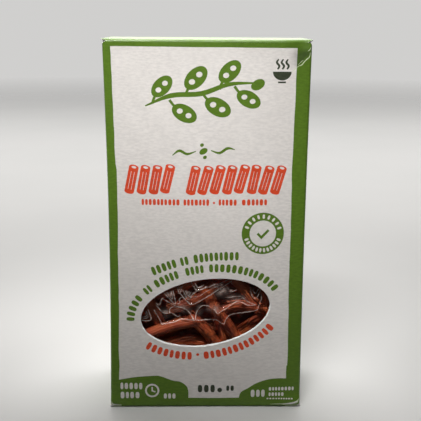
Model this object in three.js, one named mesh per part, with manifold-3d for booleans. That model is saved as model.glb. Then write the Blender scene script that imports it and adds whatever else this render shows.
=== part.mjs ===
// A windowed paperboard carton with a clear inner bag of short ridged pasta tubes.
// Millimetres, +Z up. The carton stands on its bottom flaps at z = 0 with its front towards -Y.

import * as THREE from "three";
import { mergeVertices } from "three/addons/utils/BufferGeometryUtils.js";
import Module from "manifold-3d";

const wasm = await Module();
wasm.setup();

// ---- Driving dimensions ----

const WIDTH = 95; // across the front panel
const DEPTH = 46; // across a side panel
const HEIGHT = 181; // over the closed flaps
const BOARD = 0.6; // thickness of the paperboard
const CORNER_FOLD = 1.2; // radius of the four upright folds

const BULGE = 2.5; // how far the filled carton swells at the middle of its front and its back
const BULGE_LEAN = 0.8; // below 1 brings the fullest height of the swelling down towards the base
const SIDE_BULGE = 0.9; // the same for the narrow side panels
const PINCH_LEFT = 1.2; // how far the swelling draws in the left upright folds at mid height
const PINCH_RIGHT = 0.5;

const FLAP_OVERHANG = 0.5; // how far the outer flaps stand past the side panels
const OUTER_FLAP_STOP = 1.6; // how far the outer flap's cut edge stays short of the back
const INNER_FLAP_STOP = 0.4; // the same for the inner flap at the sides

const WINDOW = { x: -0.5, z: 51.4, halfWidth: 32, halfHeight: 16.8, tilt: 9.35 };

const DENT = { x: 38.5, z: 166.5, acrossX: 8, acrossZ: 7, side: 37, slope: 0.16 }; // top right corner
const LIP = { crest: 2.9, top: 8, out: 0.9, leftStart: -40, rightStart: 33 }; // crushed bottom corners

// The filled inner bag: its gap to the board, how deep its pasta lies open behind the window and how
// far round the window that reaches, the height of its top and the radii of its ends and corners.
const BAG = { gap: 1.1, depthAtWindow: 6.4, reach: 9, top: 175, rounding: 9, corner: 8 };
const TUBE = { diameter: 6, sides: 8, steps: 7 }; // one piece of pasta

// The pasta that shows at the window: [start, middle, end, depth], where each point is measured in
// mm from the left edge and down from the top edge of the front panel, and depth is how far the
// tube's centre line lies behind the panel's outer face.
const SHOWN_PASTA = [
  [[12, 147], [27, 139.5], [43, 135.5], 4.1],
  [[39, 133], [48, 141.5], [57, 155], 4.4],
  [[45, 118], [53, 132], [57.5, 149], 5.0],
  [[51, 127], [58, 137.5], [67, 151], 4.2],
  [[55, 108], [65, 118], [74, 131], 4.6],
  [[73, 111], [78, 126], [76, 142], 5.4],
  [[17, 112], [19, 125], [25, 139], 5.6],
  [[22, 122], [36, 118], [50, 107], 5.0],
  [[28, 130], [41, 126], [52, 117], 5.6],
  [[52, 132], [63, 128], [77, 130], 5.8],
  [[24, 151], [38, 147], [52, 149], 6.2],
  [[60, 145], [68, 140], [79, 131], 6.6],
];

// ---- Places worked out from the dimensions ----

const HALF_WIDTH = WIDTH / 2;
const HALF_DEPTH = DEPTH / 2;
const OUTER_FLAP = BOARD; // depth of the first layer, from either end
const INNER_FLAP = 2 * BOARD; // depth of the second layer, where the panels begin
const DUST_FLAP = 3 * BOARD; // depth of the third layer, where the hollow begins
const PANEL_TOP = HEIGHT - INNER_FLAP;

const FRONT_STEPS = 16;
const SIDE_STEPS = 6;
const CORNER_STEPS = 2;
const LEVELS = 26;
const BAG_END_FLATNESS = 0.8; // 1 would round the bag's ends in full

// ---- Small tools ----

const clamp01 = (t) => Math.min(1, Math.max(0, t));

function smooth(from, to, value) {
  const t = clamp01((value - from) / (to - from));
  return t * t * (3 - 2 * t);
}

// Numbers from low to high that lie closer together near both ends.
function spread(low, high, steps) {
  const share = (i) => (1 - Math.cos((Math.PI * i) / steps)) / 2;
  return Array.from({ length: steps + 1 }, (_, i) => low + (high - low) * share(i));
}

function solidOf(geometry) {
  const bare = new THREE.BufferGeometry();
  bare.setAttribute("position", geometry.getAttribute("position"));
  bare.setIndex(geometry.getIndex());
  const merged = mergeVertices(bare, 1e-4);
  const mesh = new wasm.Mesh({
    numProp: 3,
    vertProperties: merged.getAttribute("position").array,
    triVerts: new Uint32Array(merged.getIndex().array),
  });
  return new wasm.Manifold(mesh);
}

function geometryOf(solid) {
  const mesh = solid.getMesh();
  const geometry = new THREE.BufferGeometry();
  geometry.setAttribute("position", new THREE.BufferAttribute(mesh.vertProperties, 3));
  geometry.setIndex(new THREE.BufferAttribute(mesh.triVerts, 1));
  geometry.computeVertexNormals();
  return geometry;
}

// A closed body through rings of equal length, each counter-clockwise from above, bottom one first.
function loft(rings) {
  const count = rings[0].length;
  const middle = (ring) => [0, 1, 2].map((k) => ring.reduce((sum, p) => sum + p[k], 0) / count);
  const positions = [...rings.flat(), middle(rings[0]), middle(rings.at(-1))].flat();
  const bottomMiddle = rings.length * count;
  const topStart = (rings.length - 1) * count;
  const faces = [];
  for (let i = 0; i < count; i++) {
    const next = (i + 1) % count;
    for (let row = 0; row < topStart; row += count) {
      faces.push(row + i, row + next, row + count + next);
      faces.push(row + i, row + count + next, row + count + i);
    }
    faces.push(bottomMiddle, next, i);
    faces.push(bottomMiddle + 1, topStart + i, topStart + next);
  }
  const geometry = new THREE.BufferGeometry();
  geometry.setAttribute("position", new THREE.Float32BufferAttribute(positions, 3));
  geometry.setIndex(faces);
  return geometry;
}

// ---- The shape that filling and handling give the carton ----

// Height up the panels, from 0 to 1.
const panelHeight = (z) => clamp01((z - INNER_FLAP) / (PANEL_TOP - INNER_FLAP));

function bulgeAt(x, z) {
  const across = 1 - (x / HALF_WIDTH) ** 2;
  const up = 1 - Math.abs(2 * panelHeight(z) ** BULGE_LEAN - 1) ** 3;
  return BULGE * Math.max(0, across) * up;
}

// The bent corner: a flat facet that starts at a slanting crease and sinks towards the corner.
function dentAt(x, z) {
  const aboveCrease = (z - DENT.z) * DENT.acrossX - (x - DENT.x) * DENT.acrossZ;
  const beyondCrease = aboveCrease / Math.hypot(DENT.acrossX, DENT.acrossZ);
  return DENT.slope * Math.max(0, Math.min(beyondCrease, x - DENT.side));
}

// The bottom fold stands out as a lip where the two lower corners were crushed.
function lipAt(x, z) {
  const left = smooth(LIP.leftStart, -HALF_WIDTH, x);
  const right = smooth(LIP.rightStart, HALF_WIDTH, x);
  const up = smooth(0, LIP.crest, z) * (1 - smooth(LIP.crest, LIP.top, z));
  return LIP.out * Math.max(left, right) * up;
}

// Moves a point of the straight box to where it is on the filled one.
function fill([x, y, z]) {
  const across = y / HALF_DEPTH;
  const atFront = clamp01(-across) ** 3;
  const waist = Math.sin(Math.PI * panelHeight(z));
  const pinch = (x < 0 ? PINCH_LEFT : PINCH_RIGHT) * waist;
  const sideways = SIDE_BULGE * Math.max(0, 1 - across ** 2) * waist - pinch;
  const outwards = bulgeAt(x, z) + atFront * (lipAt(x, z) - dentAt(x, z));
  return [x + (x / HALF_WIDTH) * sideways, y + across * outwards, z];
}

// ---- The carton ----

// A rounded rectangle in plan, inset from the carton's outside, at height z.
function outline(z, inset, sideInset, radius, steps) {
  const halfX = HALF_WIDTH - inset - sideInset;
  const halfY = HALF_DEPTH - inset;
  const along = spread(-1, 1, steps.front).map((t) => t * (halfX - radius));
  const across = spread(-1, 1, steps.side).map((t) => t * (halfY - radius));
  const ring = [];
  const corner = (x, y, start) => {
    for (let i = 1; i < steps.corner; i++) {
      const turn = start + ((Math.PI / 2) * i) / steps.corner;
      ring.push([x + radius * Math.cos(turn), y + radius * Math.sin(turn), z]);
    }
  };
  along.forEach((x) => ring.push([x, -halfY, z]));
  corner(halfX - radius, radius - halfY, -Math.PI / 2);
  across.forEach((y) => ring.push([halfX, y, z]));
  corner(halfX - radius, halfY - radius, 0);
  along.toReversed().forEach((x) => ring.push([x, halfY, z]));
  corner(radius - halfX, halfY - radius, Math.PI / 2);
  across.toReversed().forEach((y) => ring.push([-halfX, y, z]));
  corner(radius - halfX, radius - halfY, Math.PI);
  return ring;
}

const PANEL_STEPS = { front: FRONT_STEPS, side: SIDE_STEPS, corner: CORNER_STEPS };

// The four panels as a solid block. The side panels turn in at both ends, where the dust flaps fold.
function panelBlock() {
  const levels = spread(INNER_FLAP, PANEL_TOP, LEVELS);
  const fold = (z) => {
    const fromEnd = Math.min(z - INNER_FLAP, PANEL_TOP - z);
    return fromEnd < BOARD ? BOARD - Math.sqrt(BOARD ** 2 - (BOARD - fromEnd) ** 2) : 0;
  };
  const ring = (z) => outline(z, 0, fold(z), CORNER_FOLD, PANEL_STEPS).map(fill);
  return solidOf(loft(levels.map(ring)));
}

function hollow() {
  const levels = spread(DUST_FLAP, HEIGHT - DUST_FLAP, LEVELS / 2);
  const steps = { front: FRONT_STEPS / 2, side: SIDE_STEPS, corner: CORNER_STEPS };
  const ring = (z) => outline(z, BOARD, 0, CORNER_FOLD - BOARD, steps).map(fill);
  return solidOf(loft(levels.map(ring)));
}

// A flap as a section in the YZ plane, drawn along X over the given reach to both sides. The section
// is given by its distance from the carton's end, and ends is 1 at the top and -1 at the bottom.
function flap(end, reach, section) {
  const place = (fromEnd) => (end > 0 ? HEIGHT - fromEnd : fromEnd);
  const shape = new THREE.Shape(section.map(([y, fromEnd]) => new THREE.Vector2(y, place(fromEnd))));
  const inner = spread(-1, 1, FRONT_STEPS).map((t) => t * (HALF_WIDTH - CORNER_FOLD));
  const slices = [-reach, ...inner, reach];
  const steps = slices.length - 1;
  const geometry = new THREE.ExtrudeGeometry(shape, { depth: 1, steps, bevelEnabled: false });
  const points = geometry.getAttribute("position");
  for (let i = 0; i < points.count; i++) {
    const x = slices[Math.round(points.getZ(i) * steps)];
    points.setXYZ(i, ...fill([x, points.getX(i), points.getY(i)]));
  }
  return solidOf(geometry);
}

// Points of a quarter turn from the panel at side * HALF_DEPTH on to the flap.
function quarterFold(side, radius, depth) {
  return [0, 30, 60, 90].map((degrees) => {
    const turn = THREE.MathUtils.degToRad(degrees);
    const y = side * (HALF_DEPTH - radius * (1 - Math.cos(turn)));
    return [y, depth - radius * Math.sin(turn)];
  });
}

// The outer flap folds over from the front panel, and its cut edge lies short of the back.
function outerFlap(end) {
  const section = [
    ...quarterFold(-1, INNER_FLAP, INNER_FLAP),
    [HALF_DEPTH - OUTER_FLAP_STOP, 0],
    [HALF_DEPTH - OUTER_FLAP_STOP, OUTER_FLAP],
    [INNER_FLAP - HALF_DEPTH, OUTER_FLAP],
    [INNER_FLAP - HALF_DEPTH, INNER_FLAP],
  ];
  return flap(end, HALF_WIDTH + FLAP_OVERHANG, section);
}

// The inner flap folds over from the back panel and ends inside the fold of the outer one.
function innerFlap(end) {
  const frontEdge = BOARD - HALF_DEPTH;
  const section = [
    ...quarterFold(1, BOARD, INNER_FLAP),
    [frontEdge, OUTER_FLAP],
    [frontEdge, INNER_FLAP],
  ];
  return flap(end, HALF_WIDTH - INNER_FLAP_STOP, section);
}

function windowCut() {
  const { x, z, halfWidth, halfHeight, tilt } = WINDOW;
  const cutDepth = BULGE + DUST_FLAP + 3;
  const shape = new THREE.Shape();
  shape.absellipse(x, z, halfWidth, halfHeight, 0, 2 * Math.PI, false, THREE.MathUtils.degToRad(tilt));
  const geometry = new THREE.ExtrudeGeometry(shape, {
    depth: cutDepth,
    curveSegments: 32,
    bevelEnabled: false,
  });
  geometry.rotateX(Math.PI / 2);
  geometry.translate(0, DUST_FLAP - HALF_DEPTH, 0);
  return solidOf(geometry);
}

function cartonGeometry() {
  let block = panelBlock();
  for (const end of [-1, 1]) {
    block = block.add(innerFlap(end)).add(outerFlap(end));
  }
  return geometryOf(block.subtract(hollow()).subtract(windowCut()));
}

// ---- The bag of pasta ----

// How far the bag's front is set back at a point: all the way behind the window, not at all beyond
// its surroundings.
function setBackAt(x, z) {
  const tilt = THREE.MathUtils.degToRad(WINDOW.tilt);
  const along = (x - WINDOW.x) * Math.cos(tilt) + (z - WINDOW.z) * Math.sin(tilt);
  const across = (z - WINDOW.z) * Math.cos(tilt) - (x - WINDOW.x) * Math.sin(tilt);
  const reach = BAG.reach;
  const share = Math.hypot(along / (WINDOW.halfWidth + reach), across / (WINDOW.halfHeight + reach));
  return BAG.depthAtWindow * (1 - smooth(0.8, 1.1, share));
}

// The bag fills the hollow like a pillow, rounded in at the top and the bottom.
function bagCore() {
  const low = DUST_FLAP + BAG.gap;
  const windowTop = WINDOW.z + WINDOW.halfHeight + 2 * BAG.reach;
  const levels = [
    ...spread(low, low + BAG.rounding, 4),
    ...spread(low + BAG.rounding, windowTop, 14).slice(1),
    ...spread(windowTop, BAG.top - BAG.rounding, 4).slice(1),
    ...spread(BAG.top - BAG.rounding, BAG.top, 4).slice(1),
  ];
  const steps = { front: FRONT_STEPS, side: 4, corner: 3 };
  const ring = (z) => {
    const fromEnd = Math.min(z - low, BAG.top - z, BAG.rounding) / BAG.rounding;
    const drawnIn = BAG.rounding * (1 - Math.sqrt(1 - (1 - fromEnd) ** 2)) * BAG_END_FLATNESS;
    const plan = outline(z, BOARD + BAG.gap + drawnIn, 0, BAG.corner, steps);
    return plan.map(([x, y]) => fill([x, Math.max(y, setBackAt(x, z) - HALF_DEPTH), z]));
  };
  return solidOf(loft(levels.map(ring)));
}

// One piece of pasta, bent gently through three points of the front panel.
function pastaTube([start, middle, end, depth]) {
  const point = ([right, down]) => {
    const straight = [right - HALF_WIDTH, depth - HALF_DEPTH, HEIGHT - down];
    return new THREE.Vector3(...fill(straight));
  };
  const path = new THREE.CatmullRomCurve3([start, middle, end].map(point));
  const section = new THREE.Shape();
  section.absarc(0, 0, TUBE.diameter / 2, 0, 2 * Math.PI);
  const geometry = new THREE.ExtrudeGeometry(section, {
    steps: TUBE.steps,
    curveSegments: TUBE.sides / 2,
    extrudePath: path,
  });
  return solidOf(geometry);
}

function bagGeometry() {
  const whole = SHOWN_PASTA.reduce((solid, piece) => solid.add(pastaTube(piece)), bagCore());
  return geometryOf(whole);
}

// ---- The pack ----

function named(name, geometry, finish) {
  const mesh = new THREE.Mesh(geometry, new THREE.MeshStandardMaterial(finish));
  mesh.name = name;
  return mesh;
}

const pack = new THREE.Group();
pack.add(named("carton", cartonGeometry(), { color: 0x5d8a2c, roughness: 0.55, metalness: 0 }));
pack.add(named("pasta_bag", bagGeometry(), { color: 0x9c4320, roughness: 0.4, metalness: 0 }));

export default pack;
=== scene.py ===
import math
import random

import bpy
import numpy as np
from mathutils import Matrix, Vector
from mathutils.geometry import delaunay_2d_cdt
from mathutils.kdtree import KDTree


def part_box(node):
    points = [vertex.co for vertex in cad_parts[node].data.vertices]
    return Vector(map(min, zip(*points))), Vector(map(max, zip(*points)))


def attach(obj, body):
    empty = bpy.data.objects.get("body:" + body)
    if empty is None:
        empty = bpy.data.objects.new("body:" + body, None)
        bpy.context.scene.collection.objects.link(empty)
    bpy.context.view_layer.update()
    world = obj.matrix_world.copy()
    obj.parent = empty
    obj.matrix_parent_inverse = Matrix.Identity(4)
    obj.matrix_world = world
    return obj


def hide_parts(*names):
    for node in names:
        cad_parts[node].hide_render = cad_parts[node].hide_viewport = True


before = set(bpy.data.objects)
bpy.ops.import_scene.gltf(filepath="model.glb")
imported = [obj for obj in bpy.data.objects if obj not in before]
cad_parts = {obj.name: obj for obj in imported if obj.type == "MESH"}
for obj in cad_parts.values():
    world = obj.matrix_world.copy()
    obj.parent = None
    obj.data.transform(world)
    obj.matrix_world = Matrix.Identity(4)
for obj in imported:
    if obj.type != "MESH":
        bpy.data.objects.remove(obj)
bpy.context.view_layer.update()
MM = 0.001

# ---- The carton's sizes, with the outer ones worked out from the frame ----

FLAP_OVERHANG = 0.5  # how far the outer flaps stand past the side panels
BULGE = 2.5  # how far the filled carton swells at the middle of its front and its back
CARTON_LOW, CARTON_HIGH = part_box("carton")
CARTON_SPAN = (CARTON_HIGH - CARTON_LOW) / MM
WIDTH = round(CARTON_SPAN.x - 2 * FLAP_OVERHANG)
DEPTH = round(CARTON_SPAN.y - 2 * BULGE)
HEIGHT = round(CARTON_SPAN.z)
HALF_WIDTH = WIDTH / 2
HALF_DEPTH = DEPTH / 2

BOARD = 0.6  # thickness of the paperboard
FOLD = 1.2  # radius of the four upright folds
LAP = BOARD + 0.05  # how far the glue flap lies inside the back panel
GLUE_FLAP = 12  # its width
SWELL_LOW = 2 * BOARD  # the heights between which the panels swell
SWELL_HIGH = HEIGHT - SWELL_LOW

BULGE_LEAN = 0.8  # below 1 brings the fullest height of the swelling down towards the base
SIDE_BULGE = 0.9  # how far the side panels swell
PINCH_LEFT = 1.2  # how far the swelling draws in the left upright folds at mid height
PINCH_RIGHT = 0.5
# The bent top right corner: a point of its crease, the crease's direction, the place across the
# panel from which it counts, and how steeply the corner falls back past it.
DENT = {"x": 38.5, "z": 166.5, "across_x": 8, "across_z": 7, "side": 37, "slope": 0.16}
CORNER_SHADE_EDGE = 0.8  # width over which the shade painted on the bent corner comes in past the crease
CORNER_SHADE_REACH = 6  # and across the panel
CORNER_SHADE_TOP = (6.5, 2.5)  # distances from the top between which the painted shade fades out again
# The lip that the crushed lower corners push out: its heights, its reach and where it starts.
LIP = {"crest": 2.9, "top": 8, "out": 0.9, "left_start": -40, "right_start": 33}
# The window's middle, its half sizes, and how far its right end is turned up, in degrees.
WINDOW = {"x": -0.5, "z": 51.4, "half_width": 32, "half_height": 16.8, "tilt": 9.35}
BEVEL = 0.64  # width of the white cut edge under the window, which the die pressed in
BEVEL_LEAST = 0.07  # its width over the window
BEVEL_SINK = 0.54  # how far it is pressed in
BEVEL_SLANT = 0.165  # slope of the line through the window's middle under which it is
BEVEL_EASE = (-6, 4)  # how far under that line it starts to be, and is in full

UNEVEN = 0.13  # how far the flat panels wave out and in
SAG = 0.3  # how far the flaps sag towards the inside

# ---- The bag and its pasta ----

TUBE_RADIUS = 3.0
TUBE_BORE = 1.9
TUBE_RIDGES = 14
RIDGE = 0.26  # how deep the grooves between the ridges are
TUBE_LENGTHS = (29, 37)
TUBE_BEND = 75  # twice the least radius that a piece is bent to
TUBE_COUNT = 58
TUBE_TRIES = 420
TUBE_DEPTHS = 6.2 + 0.3 * np.arange(60)  # at which each is tried, the nearest first
TUBE_SPACING = 0.25  # least gap between two pieces
PASTA_SPACE = ((-43, 43), (8, 110))  # where the deeper pieces' centre lines may lie, across and up
TUBE_ASIDE = (0.13, 1.0, 0.05)  # a direction that no piece runs in
BOARD_SHARP = 38  # degrees above which an edge of the board isn't shaded smooth
TUBE_SHARP = 50
BAG_GAP = 1.1  # between the board and the bag
BAG_LOW = 3 * BOARD + BAG_GAP
BAG_TOP = 175
BAG_CORNER = 8  # radius of its upright corners
BAG_ROUNDING = 12  # height over which it narrows to the seam at either end
SEAM_DEPTH = 0.04  # the share of its depth that it keeps at a seam
SEAM_WIDTH = 0.93  # and of its width, nearly
FILM_NEAREST = 0.8  # how close behind the board's outer face the film may come
FILM_SLACK = 3.4  # how deep the film hangs behind the window where no pasta holds it out
FILM_LIFT = 1.7  # how much less deep it hangs at the window's upper left
FILM_PASSES = 40  # rounds of smoothing between the tubes
TUBE_GAP = 0.2  # from the film to the pasta that it lies on
TUBE_GAP_LEAST = 0.12
CRUMPLE = 0.9  # how deep the film's small facets are
CRUMPLE_MORE = 0.8  # how much deeper at the window's upper left
SIGHT_DROP = 0.36 * 1.8  # how far the line of sight falls from the board's face to the film

# The pasta that shows: start, middle and end in mm from the left edge and down from the top edge of
# the front panel, and how far the centre line lies behind the panel's outer face.
SHOWN_PASTA = [
    ((12, 147), (27, 139.5), (43, 135.5), 4.1),
    ((39, 133), (48, 141.5), (57, 155), 4.4),
    ((45, 118), (53, 132), (57.5, 149), 5.6),
    ((51, 127), (58, 137.5), (67, 151), 4.2),
    ((55, 108), (65, 118), (74, 131), 6.0),
    ((73, 111), (78, 126), (76, 142), 6.6),
    ((17, 112), (19, 125), (25, 139), 6.4),
    ((22, 122), (36, 118), (50, 107), 6.2),
    ((28, 130), (41, 126), (52, 117), 6.2),
    ((52, 132), (63, 128), (77, 130), 5.8),
    ((24, 151), (38, 147), (52, 149), 6.2),
    ((60, 145), (68, 140), (79, 131), 6.6),
]

# Creases of the film, with a highlight painted along each: its brightness, then points as above.
CREASES = [
    (0.9, (21.8, 128.7), (25.6, 136.2)),
    (0.9, (22.9, 126.2), (26.5, 130.3), (30.2, 130.3), (33.4, 132.2), (34.7, 131.6)),
    (1.0, (29.6, 130.2), (29.6, 128), (32, 126.8), (36, 127.3), (39, 129.4), (41.5, 133.2)),
    (1.0, (42.2, 133.2), (42.9, 129.9), (45.1, 126.4), (48.4, 126.3), (51.5, 128), (53.2, 130)),
    (1.0, (25.6, 136.2), (31.5, 134.8), (35.6, 133.2), (41.5, 133.3), (46.5, 133.8), (52.9, 133.6)),
    (0.9, (52.9, 133.6), (55.4, 135.3), (56.6, 135), (57.5, 133), (60.2, 131.2), (65.6, 130.3)),
    (0.9, (65.6, 130.3), (71.1, 129.6), (72.9, 128.8)),
    (0.9, (53.8, 129.6), (57.9, 127.8), (62, 124.8), (65.2, 125), (68.4, 126.6), (72, 126.3)),
    (0.7, (57.5, 122.5), (62.5, 122.1), (65.2, 122.5), (68.4, 124.8), (72, 126.3)),
    (0.8, (34.7, 119.8), (37.5, 123), (40.2, 125.5), (45.6, 123), (51.1, 119.8), (60.2, 113.9)),
    (0.8, (38.8, 121.6), (41.1, 120), (43.8, 117.8), (48.4, 116.6), (52, 114.8)),
    (0.6, (39.3, 121.4), (43.8, 121.2), (47.5, 118.9), (51.1, 117.1), (55.6, 115.3)),
    (0.5, (74, 118.5), (74.8, 123), (72.9, 128.8)),
    (0.5, (58.2, 117.4), (59.8, 119.6), (62.4, 118.6)),
    (0.8, (22.9, 125.1), (24.5, 125.9), (25.8, 122.5), (27.7, 123.6), (30.6, 125.3), (32.3, 126.1)),
    (0.7, (33.5, 125.1), (34.7, 124.3), (34.2, 122.8), (35.7, 121.8), (37.4, 123), (40.2, 125.5)),
    (0.6, (51.4, 115.4), (54.3, 114.9), (58.6, 113.1), (62.4, 113.4)),
    (0.5, (49.5, 116.6), (53, 116.2), (56.4, 115.1)),
]
# Creases that lie inside one another: brightness, the outermost one's points, how many there are,
# and the share that each keeps of the last one's size.
NESTED_CREASES = [
    (0.9, ((26.8, 119.3), (32.3, 125.3), (31.2, 118.2)), 3, 0.58),
    (0.8, ((36, 118), (38.8, 122.9), (41.2, 119.4)), 3, 0.52),
    (0.8, ((40.2, 114), (43.2, 118.2), (48, 116)), 2, 0.55),
    (1.0, ((18.7, 128.4), (20.1, 134.3), (14.4, 134.5)), 3, 0.6),
    (0.7, ((69.2, 117.6), (70.1, 121.7), (71.5, 122.9), (72.7, 122.3), (74.4, 118.6)), 2, 0.5),
    (0.6, ((33, 116.4), (34.5, 119.8), (35.6, 116.2)), 2, 0.5),
]
NEST_FADE = 0.85  # the share that each keeps of the last one's brightness
CREASE_HALF = 0.17  # half width of the highlight painted on a crease
CREASE_RISE = 0.55  # how far the film stands out on a crease
CREASE_FOOT = 1.0  # half width of the ridge that it makes there

# Soft whitish highlights painted on the film for its hazy sheen: centre, reach and brightness.
PAINTED_HAZE = [
    ((55, 119.4), (2.6, 2.2), 0.42),
    ((59.7, 119.8), (0.8, 0.6), 0.4),
    ((51, 128.4), (2.8, 1.5), 0.36),
    ((35.5, 128.5), (3.2, 1.6), 0.3),
    ((27.5, 131), (2.6, 1.8), 0.26),
    ((62, 123.5), (4, 1.4), 0.2),
    ((44, 129), (1.6, 2.4), 0.16),
]

# ---- Camera, from the front panel's four corners in the photograph ----

PICTURE_SIZE = 421  # pixels
FOCAL_PIXELS = 785
SENSOR = 36
CAMERA_PLACE = (-4.80, -384.1, 188.9)
CAMERA_PITCH = 13.56  # downwards, in degrees
CAMERA_YAW = -1.065
CAMERA_ROLL = 0.39


# ---- Small tools ----


def smooth(start, end, value):
    """Goes softly from 0 at the start to 1 at the end."""
    t = np.clip((value - start) / (end - start), 0, 1)
    return t * t * (3 - 2 * t)


def rows_between(low, high, step):
    """Even places about a step apart, with both ends."""
    return np.linspace(low, high, max(2, round((high - low) / step) + 1))


def spline(points, steps=5):
    """A smooth line through the points."""
    known = np.array(points, float)
    padded = np.vstack([2 * known[0] - known[1], known, 2 * known[-1] - known[-2]])
    line = []
    for a, b, c, d in zip(padded, padded[1:], padded[2:], padded[3:]):
        for t in np.arange(steps) / steps:
            curve = (-a + 3 * b - 3 * c + d) * t**3 + (2 * a - 5 * b + 4 * c - d) * t**2
            line.append(0.5 * (2 * b + (c - a) * t + curve))
    return np.array([*line, known[-1]])


def ripple(across, up, length, seed, waves=7):
    """Soft random waves about as long as given, from -1 to 1 or so."""
    rng = random.Random(seed)
    total = np.zeros(np.broadcast(across, up).shape)
    for _ in range(waves):
        turn = rng.uniform(0, math.pi)
        pitch = length * rng.uniform(0.6, 1.6)
        phase = rng.uniform(0, 2 * math.pi)
        total += np.sin((across * math.cos(turn) + up * math.sin(turn)) * 2 * math.pi / pitch + phase)
    return total / math.sqrt(waves)


def facets(across, up, length, seed, waves=5):
    """Random straight folds with flat facets between them, from 0 to 1."""
    rng = random.Random(seed)
    total = np.zeros(np.broadcast(across, up).shape)
    for _ in range(waves):
        turn = rng.uniform(0, math.pi)
        pitch = length * rng.uniform(0.6, 1.5)
        bend = 0.16 * length * np.sin((across - up) / (1.7 * length) + rng.uniform(0, 6))
        place = (across * math.cos(turn) + up * math.sin(turn) + bend) / pitch + rng.uniform(0, 1)
        total += np.abs(2 * (place % 1) - 1)
    return total / waves


def unit(vectors):
    return vectors / np.maximum(np.linalg.norm(vectors, axis=-1, keepdims=True), 1e-12)


def band(low, high, count):
    """Faces between two closed rings of points, each given by its first point's number."""
    pairs = [(k, (k + 1) % count) for k in range(count)]
    return [(low + k, low + n, high + n, high + k) for k, n in pairs]


def vertex_normals(points, triangles):
    """Normals at the points, each triangle weighted by its corner angle."""
    corners = points[triangles]
    face = unit(np.cross(corners[:, 1] - corners[:, 0], corners[:, 2] - corners[:, 0]))
    normals = np.zeros_like(points)
    for k in range(3):
        one, two = (unit(corners[:, (k + step) % 3] - corners[:, k]) for step in (1, 2))
        angle = np.arccos(np.clip(np.sum(one * two, axis=1), -1, 1))
        np.add.at(normals, triangles[:, k], face * angle[:, None])
    return unit(normals)


def make_mesh(name, points, faces, kinds=None, materials=(), corners_uv=None):
    """A smooth-shaded object from points in mm. kinds gives each face's material index."""
    mesh = bpy.data.meshes.new(name)
    mesh.from_pydata((np.asarray(points) * MM).tolist(), [], [list(map(int, f)) for f in faces])
    for material in materials:
        mesh.materials.append(material)
    if kinds is not None:
        mesh.polygons.foreach_set("material_index", np.asarray(kinds, np.int32))
    if corners_uv is not None:
        layer = mesh.uv_layers.new(name="OFBake")
        layer.data.foreach_set("uv", np.asarray(corners_uv, np.float32).ravel())
    mesh.polygons.foreach_set("use_smooth", np.ones(len(mesh.polygons), bool))
    mesh.update()
    piece = bpy.data.objects.new(name, mesh)
    bpy.context.scene.collection.objects.link(piece)
    return piece


def mark_points(piece, name, values):
    """Gives every point of a piece a value that a material can read."""
    attribute = piece.data.attributes.new(name, "FLOAT", "POINT")
    attribute.data.foreach_set("value", np.asarray(values, np.float32))


# ---- The shape that filling and handling give the carton, as in its solid ----


def panel_height(z):
    return np.clip((z - SWELL_LOW) / (SWELL_HIGH - SWELL_LOW), 0, 1)


def bulge_at(x, z):
    """How far the front and the back swell."""
    across = np.maximum(0, 1 - (x / HALF_WIDTH) ** 2)
    return BULGE * across * (1 - np.abs(2 * panel_height(z) ** BULGE_LEAN - 1) ** 3)


def beyond_crease(x, z):
    """How far a point of the front panel lies past the bent corner's crease."""
    above = (z - DENT["z"]) * DENT["across_x"] - (x - DENT["x"]) * DENT["across_z"]
    return above / math.hypot(DENT["across_x"], DENT["across_z"])


def dent_at(x, z):
    return DENT["slope"] * np.maximum(0, np.minimum(beyond_crease(x, z), x - DENT["side"]))


def painted_corner_shade_at(x, y, z):
    """Shade painted on the bent top right corner past its crease, where the turned board gets less light,
    from 0 to 1.
    """
    past = smooth(0, CORNER_SHADE_EDGE, beyond_crease(x, z)) * smooth(DENT["side"], DENT["side"] + CORNER_SHADE_REACH, x)
    return past * (1 - smooth(HEIGHT - CORNER_SHADE_TOP[0], HEIGHT - CORNER_SHADE_TOP[1], z)) * (y < 0)


def lip_at(x, z):
    """How far the crushed foot of the front panel stands out."""
    left = smooth(LIP["left_start"], -HALF_WIDTH, x)
    right = smooth(LIP["right_start"], HALF_WIDTH, x)
    up = smooth(0, LIP["crest"], z) * (1 - smooth(LIP["crest"], LIP["top"], z))
    return LIP["out"] * np.maximum(left, right) * up


def filled(x, y, z):
    """Moves points of the straight box to where they are on the filled one."""
    across = y / HALF_DEPTH
    at_front = np.clip(-across, 0, 1) ** 3
    waist = np.sin(math.pi * panel_height(z))
    pinch = np.where(x < 0, PINCH_LEFT, PINCH_RIGHT) * waist
    sideways = SIDE_BULGE * np.maximum(0, 1 - across**2) * waist - pinch
    outwards = bulge_at(x, z) + at_front * (lip_at(x, z) - dent_at(x, z))
    return np.stack([x + (x / HALF_WIDTH) * sideways, y + across * outwards, z], axis=-1)


# ---- The flat blank: s runs to the right round the carton from the front panel's left fold ----

BACK = WIDTH + DEPTH  # where the back panel starts
FOLDS = [-DEPTH, 0, WIDTH, BACK]
BLANK_START = -DEPTH - GLUE_FLAP
BLANK_END = BACK + WIDTH


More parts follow.
